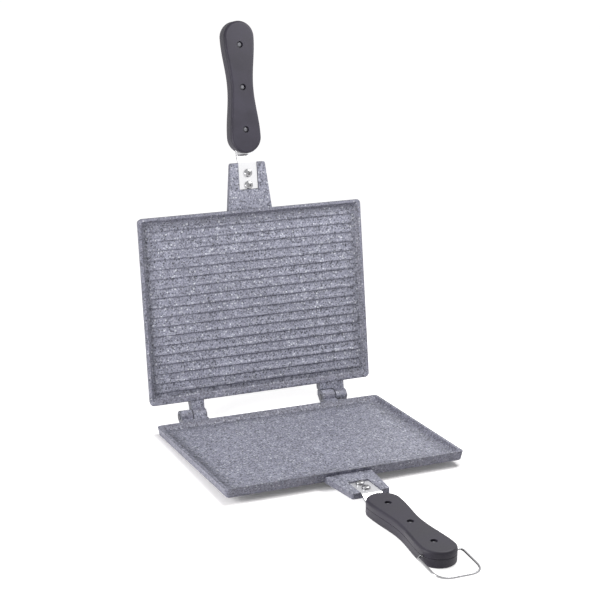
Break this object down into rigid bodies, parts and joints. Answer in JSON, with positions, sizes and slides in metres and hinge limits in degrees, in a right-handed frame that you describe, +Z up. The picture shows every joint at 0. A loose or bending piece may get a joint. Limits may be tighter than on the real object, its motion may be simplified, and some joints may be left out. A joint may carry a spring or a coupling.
{
  "type": "stovetop sandwich toaster",
  "caption": "Hinged cast aluminium sandwich toaster for a hob, standing open, with a flat lower tray, a ribbed upper tray, long riveted handles and a wire ring that locks them shut.",
  "frame": {"origin": "middle of the lower pan's flat underside", "axes": "+X along the hinge, to the right seen from the handle; +Y from the lower handle to the hinge; +Z up out of the lower tray"},
  "size_m": [0.23, 0.4629, 0.3854],
  "materials": {
    "granite_coating": "satin speckled non-stick coating on cast aluminium",
    "handle_moulding": "satin moulded heat-proof resin",
    "bright_steel": "bright rolled and plated steel"
  },
  "bodies": {
    "lower": {"lower_pan": "granite_coating", "lower_tang": "bright_steel", "lower_tang_screw_1": "bright_steel", "lower_tang_screw_2": "bright_steel", "lower_handle_inner_half": "handle_moulding", "lower_handle_outer_half": "handle_moulding", "lower_handle_rivet_1": "bright_steel", "lower_handle_rivet_2": "bright_steel", "lower_handle_rivet_3": "bright_steel", "hinge_pin_left": "bright_steel", "hinge_pin_right": "bright_steel"},
    "upper": {"upper_pan": "granite_coating", "upper_tang": "bright_steel", "upper_tang_screw_1": "bright_steel", "upper_tang_screw_2": "bright_steel", "upper_handle_inner_half": "handle_moulding", "upper_handle_outer_half": "handle_moulding", "upper_handle_rivet_1": "bright_steel", "upper_handle_rivet_2": "bright_steel", "upper_handle_rivet_3": "bright_steel"},
    "ring": {"latch_ring": "bright_steel"}
  },
  "joints": [
    {"name": "upper_pan_hinge", "type": "hinge", "parent": "lower", "child": "upper", "pos_m": [0, 0.1025, 0.0094], "axis": [1, 0, 0], "range_deg": [0, 97.65]},
    {"name": "latch_ring_swing", "type": "hinge", "parent": "lower", "child": "ring", "pos_m": [0, -0.25351, -0.00261], "axis": [-1, 0, 0], "range_deg": [-159, 121]}
  ]
}
